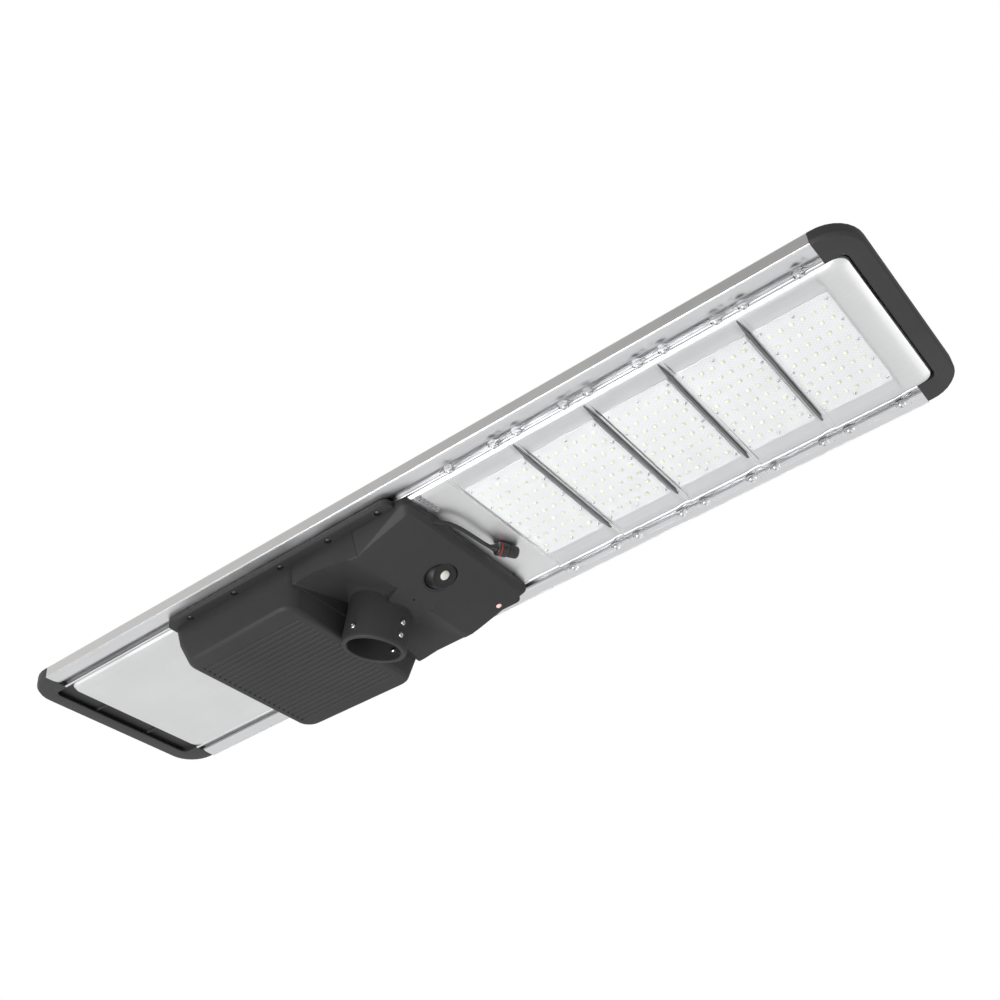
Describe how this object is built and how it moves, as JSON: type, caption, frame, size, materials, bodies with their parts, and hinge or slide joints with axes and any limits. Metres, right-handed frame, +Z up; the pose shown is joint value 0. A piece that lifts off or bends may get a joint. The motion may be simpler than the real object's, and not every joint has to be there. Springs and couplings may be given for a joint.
{
  "type": "solar street lamp",
  "caption": "All-in-one solar street lamp: a long framed solar panel lit from below, with a moulded battery housing, an angled pole sleeve, a motion sensor eye and a short output lead.",
  "frame": {"origin": "centre of the pole sleeve's mouth, on the sleeve's axis", "axes": "+X along the panel toward the light modules, +Y across the panel toward the side with the status light, +Z up toward the solar glass, which lies level"},
  "size_m": [1.404, 0.35, 0.1279],
  "materials": {
    "rail_aluminium": "satin",
    "cap_plastic": "matte",
    "panel_glass": "gloss",
    "solar_cells": "gloss",
    "box_plastic": "matte",
    "tray_sheet": "satin",
    "led_board": "matte",
    "clear_cover": "gloss",
    "divider_rubber": "matte",
    "housing_plastic": "matte",
    "seal_rubber": "matte",
    "screw_steel": "gloss",
    "battery_wrap": "gloss",
    "strap_steel": "satin",
    "controller_case": "satin",
    "sensor_plastic": "satin",
    "sensor_lens_plastic": "satin",
    "status_lens_plastic": "gloss",
    "cable_rubber": "matte",
    "plug_plastic": "satin"
  },
  "bodies": {
    "lamp": {"back_tray": "tray_sheet", "battery_cell_1": "battery_wrap", "battery_cell_2": "battery_wrap", "battery_cell_3": "battery_wrap", "battery_cell_4": "battery_wrap", "battery_strap": "strap_steel", "cable_gland": "cable_rubber", "charge_controller": "controller_case", "end_cap_front": "cap_plastic", "end_cap_rear": "cap_plastic", "flange_screw_1": "screw_steel", "flange_screw_2": "screw_steel", "flange_screw_3": "screw_steel", "flange_screw_4": "screw_steel", "flange_screw_5": "screw_steel", "flange_screw_6": "screw_steel", "flange_screw_7": "screw_steel", "flange_screw_8": "screw_steel", "flange_screw_9": "screw_steel", "housing_seal": "seal_rubber", "light_board_1": "led_board", "light_board_2": "led_board", "light_board_3": "led_board", "light_board_4": "led_board", "light_board_5": "led_board", "light_cover_1": "clear_cover", "light_cover_2": "clear_cover", "light_cover_3": "clear_cover", "light_cover_4": "clear_cover", "light_cover_5": "clear_cover", "lower_housing": "housing_plastic", "module_divider_1": "divider_rubber", "module_divider_2": "divider_rubber", "module_divider_3": "divider_rubber", "module_divider_4": "divider_rubber", "output_lead": "cable_rubber", "panel_junction_box": "box_plastic", "plug_body": "plug_plastic", "plug_boot": "cable_rubber", "sensor_retainer": "sensor_plastic", "side_rail_far": "rail_aluminium", "side_rail_near": "rail_aluminium", "solar_cell_sheet": "solar_cells", "solar_glass": "panel_glass", "status_lens": "status_lens_plastic"},
    "sensor_eye": {"sensor_ball": "sensor_plastic", "sensor_lens": "sensor_lens_plastic"},
    "set_screw_near": {"clamp_screw_near": "screw_steel"},
    "set_screw_far": {"clamp_screw_far": "screw_steel"},
    "set_screw_front_low": {"clamp_screw_front_low": "screw_steel"},
    "set_screw_front_high": {"clamp_screw_front_high": "screw_steel"},
    "locking_ring": {"plug_nut": "plug_plastic"}
  },
  "joints": [
    {"name": "sensor_tilt", "type": "hinge", "parent": "lamp", "child": "sensor_eye", "pos_m": [0.12396, 0, 0.07625], "axis": [0, 1, 0], "range_deg": [-3, 44]},
    {"name": "set_screw_near_travel", "type": "slide", "parent": "lamp", "child": "set_screw_near", "axis": [0, -1, 0], "range_m": [-0.0045, 0.006]},
    {"name": "set_screw_far_travel", "type": "slide", "parent": "lamp", "child": "set_screw_far", "axis": [0, 1, 0], "range_m": [-0.0045, 0.006]},
    {"name": "set_screw_front_low_travel", "type": "slide", "parent": "lamp", "child": "set_screw_front_low", "axis": [0.9627, 0, -0.2706], "range_m": [-0.0045, 0.006]},
    {"name": "set_screw_front_high_travel", "type": "slide", "parent": "lamp", "child": "set_screw_front_high", "axis": [0.9627, 0, -0.2706], "range_m": [-0.0045, 0.006]},
    {"name": "locking_ring_turn", "type": "hinge", "parent": "lamp", "child": "locking_ring", "pos_m": [0.2036, 0.0156, 0.0858], "axis": [0.4227, 0.9058, 0.0302], "continuous": true}
  ]
}
